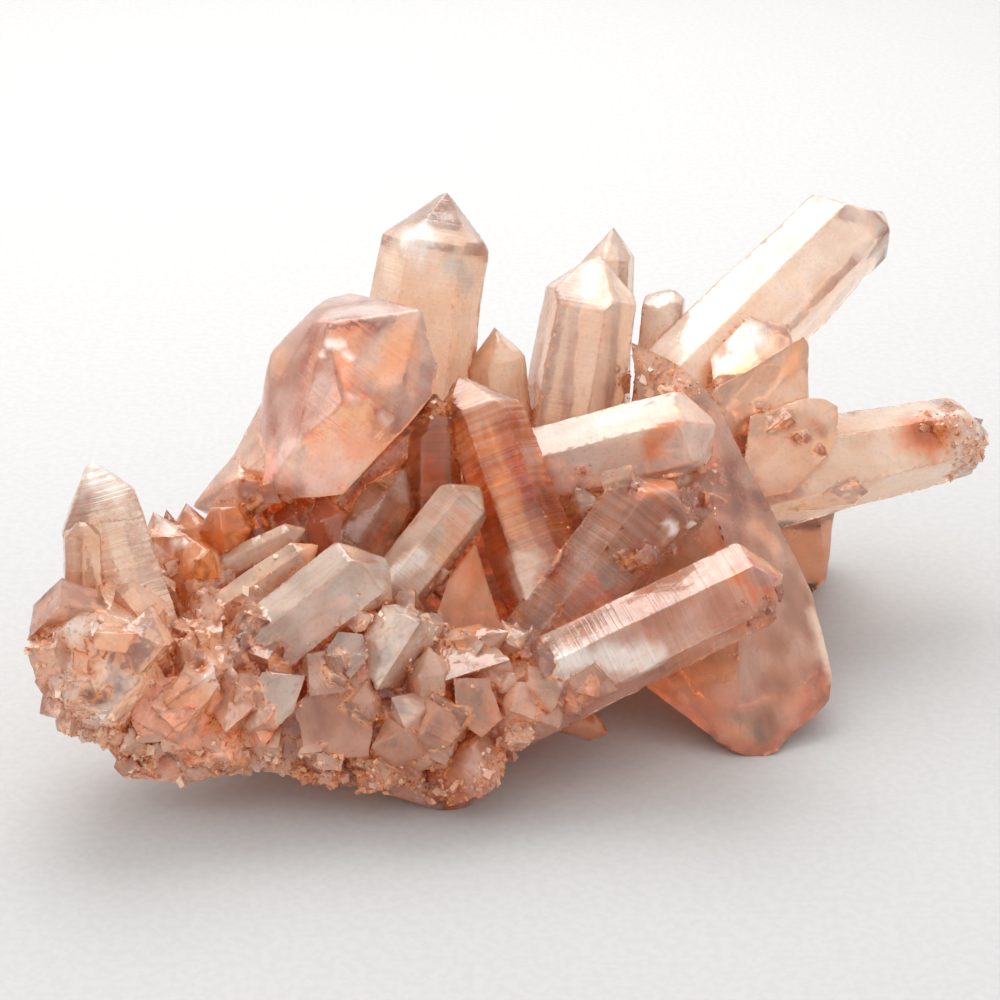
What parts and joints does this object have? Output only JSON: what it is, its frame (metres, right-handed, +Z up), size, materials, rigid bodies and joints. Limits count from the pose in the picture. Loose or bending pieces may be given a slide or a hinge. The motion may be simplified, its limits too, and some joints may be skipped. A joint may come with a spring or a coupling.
{
  "type": "quartz crystal cluster",
  "caption": "Loose natural cluster of six-sided quartz crystals, pale pink to orange, grown together from one rough crust of matrix.",
  "frame": {"origin": "centre of the box around the cluster, on the surface that it rests on", "axes": "+Z up, +X along the longest side, to the right as the picture shows it, +Y away from the front"},
  "size_m": [0.1554, 0.1144, 0.0732],
  "materials": {
    "quartz": "clear to milky quartz with an iron stain, glossy crystal faces and a rough broken crust"
  },
  "bodies": {
    "root": {"quartz_cluster": "quartz"}
  },
  "joints": []
}
